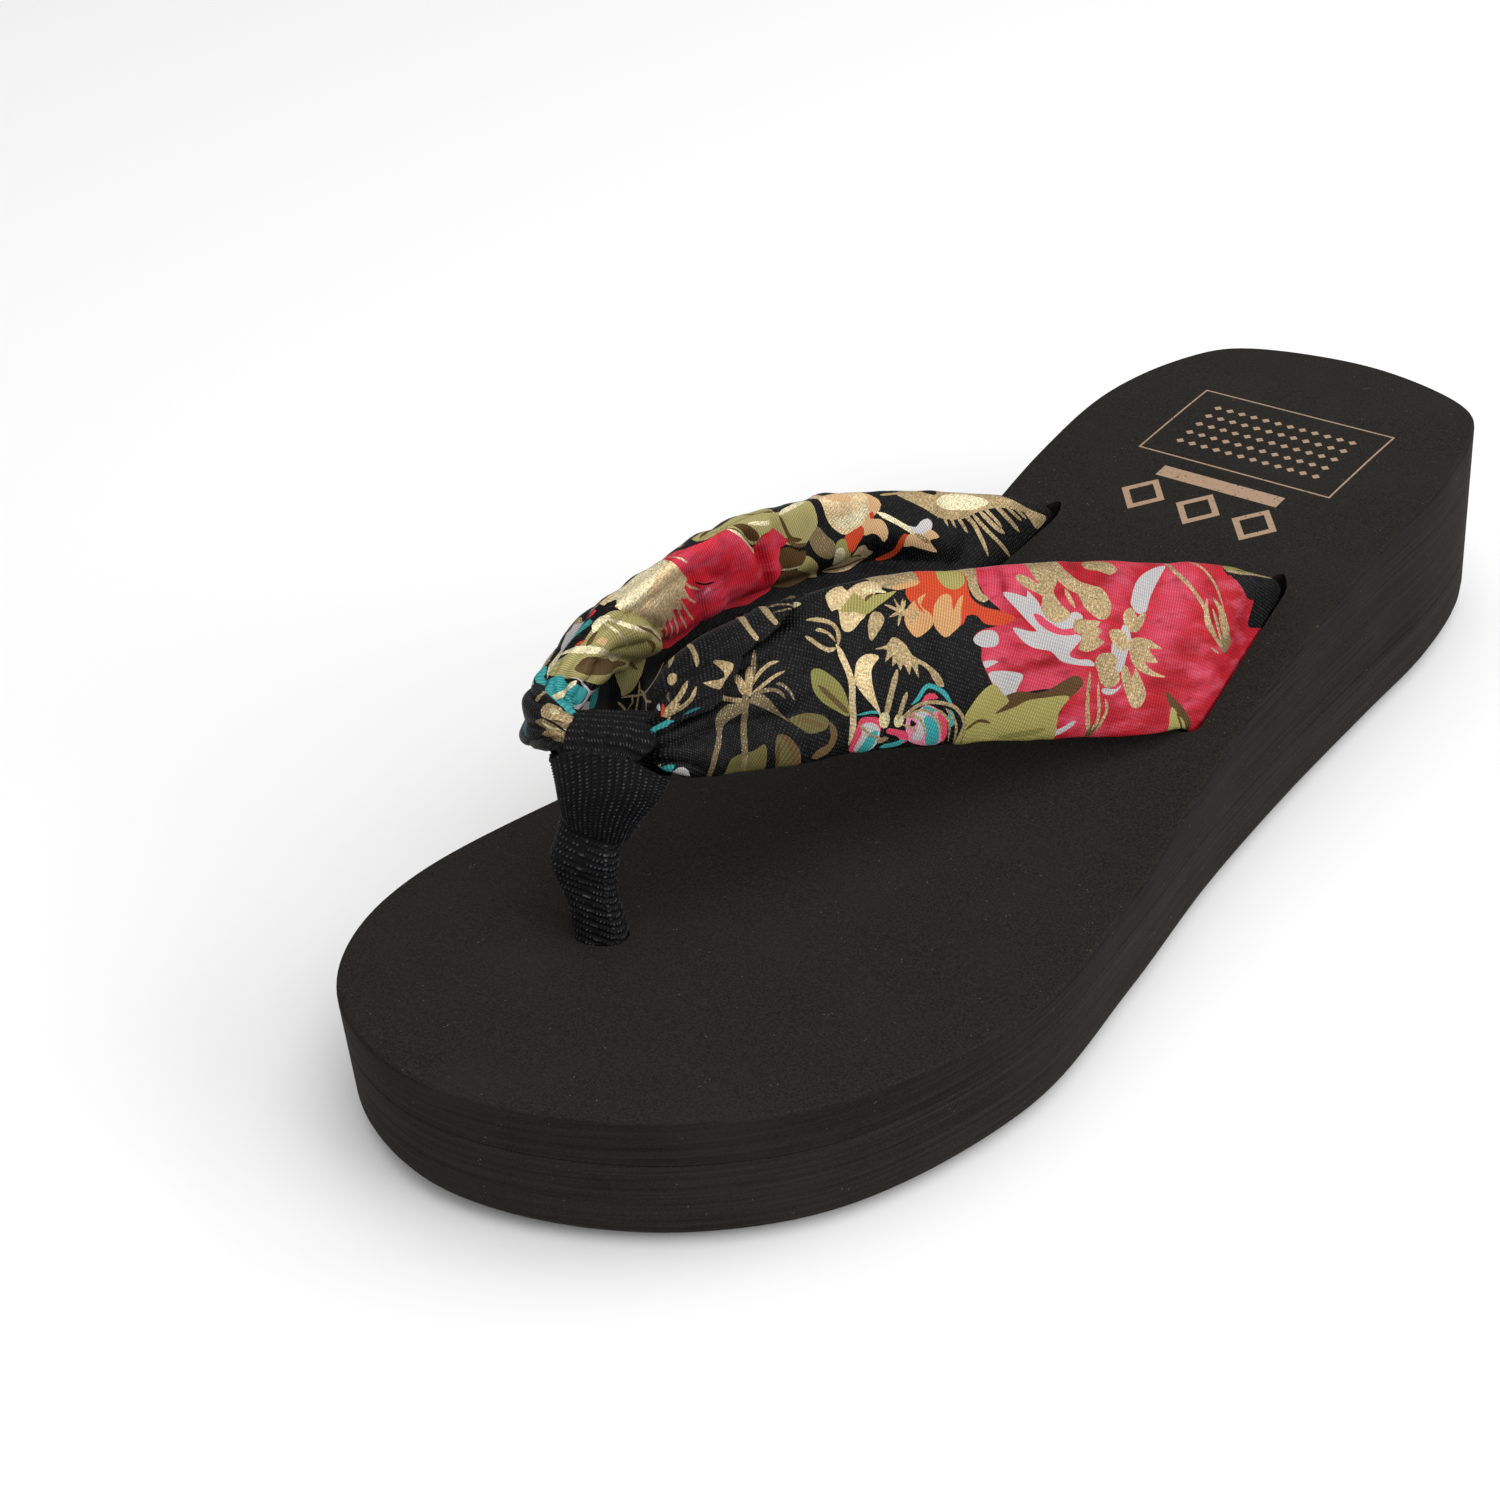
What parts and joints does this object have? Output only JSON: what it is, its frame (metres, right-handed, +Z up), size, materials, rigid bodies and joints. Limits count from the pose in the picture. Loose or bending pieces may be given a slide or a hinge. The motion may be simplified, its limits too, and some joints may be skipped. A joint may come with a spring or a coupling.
{
  "type": "wedge flip-flop sandal",
  "caption": "Left wedge flip-flop sandal: layered foam sole with a raised heel, and a flat padded fabric strap gathered in a webbing loop on the toe post.",
  "frame": {"origin": "on the floor, under the middle of the sole's box", "axes": "+Z up, +Y from toe to heel along the sole, +X to the outer side of the left foot"},
  "size_m": [0.0999, 0.248, 0.0625],
  "materials": {
    "lower_foam": "matte dense foam, ground side wall",
    "footbed_foam": "matte dense foam, smooth skin on top",
    "strap_fabric": "black satin with a colourful floral print and gold foil",
    "post_webbing": "ribbed woven webbing",
    "wrap_webbing": "ribbed woven webbing"
  },
  "bodies": {
    "root": {"lower_sole": "lower_foam", "wedge_footbed": "footbed_foam", "strap_upper": "strap_fabric", "toe_post": "post_webbing", "neck_wrap": "wrap_webbing"}
  },
  "joints": []
}
